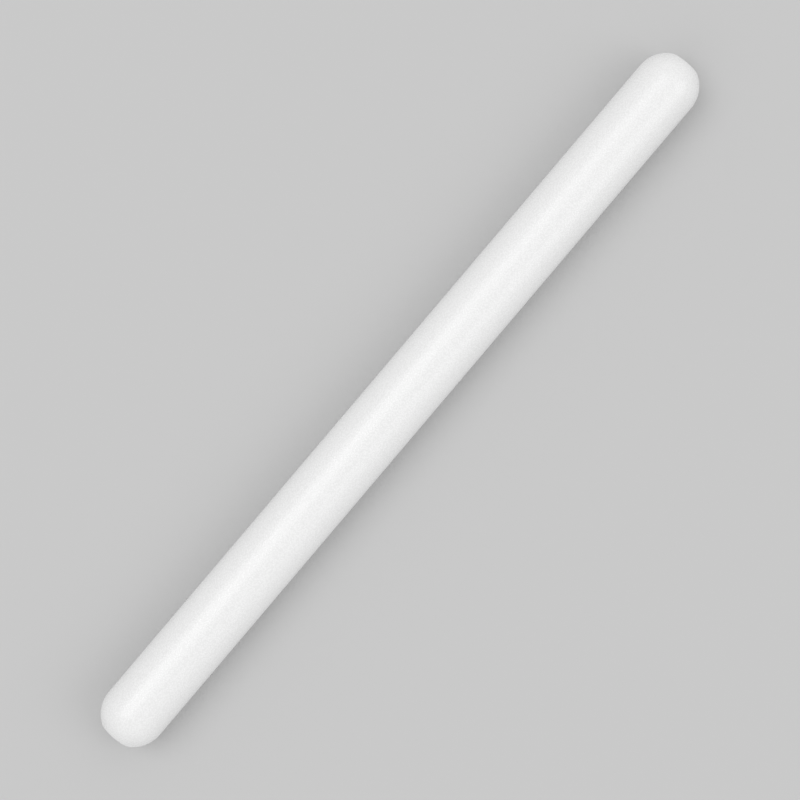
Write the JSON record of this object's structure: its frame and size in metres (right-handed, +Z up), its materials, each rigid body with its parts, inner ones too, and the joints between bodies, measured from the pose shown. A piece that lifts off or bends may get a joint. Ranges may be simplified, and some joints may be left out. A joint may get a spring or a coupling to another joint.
{
  "type": "bicycle spoke reflector",
  "caption": "Slim round-ended white tube with a lengthwise slit on its underside, which snaps sideways over a wheel spoke and shines light back to its source.",
  "frame": {"origin": "on the axis of the spoke seat, halfway along the tube", "axes": "+X along the tube and the spoke that it holds, +Z up, away from the slit, which opens towards -Z"},
  "size_m": [0.075, 0.0056, 0.0053],
  "materials": {
    "reflective_white": "satin white retroreflective skin on white plastic"
  },
  "bodies": {
    "root": {"reflector_tube": "reflective_white"}
  },
  "joints": []
}
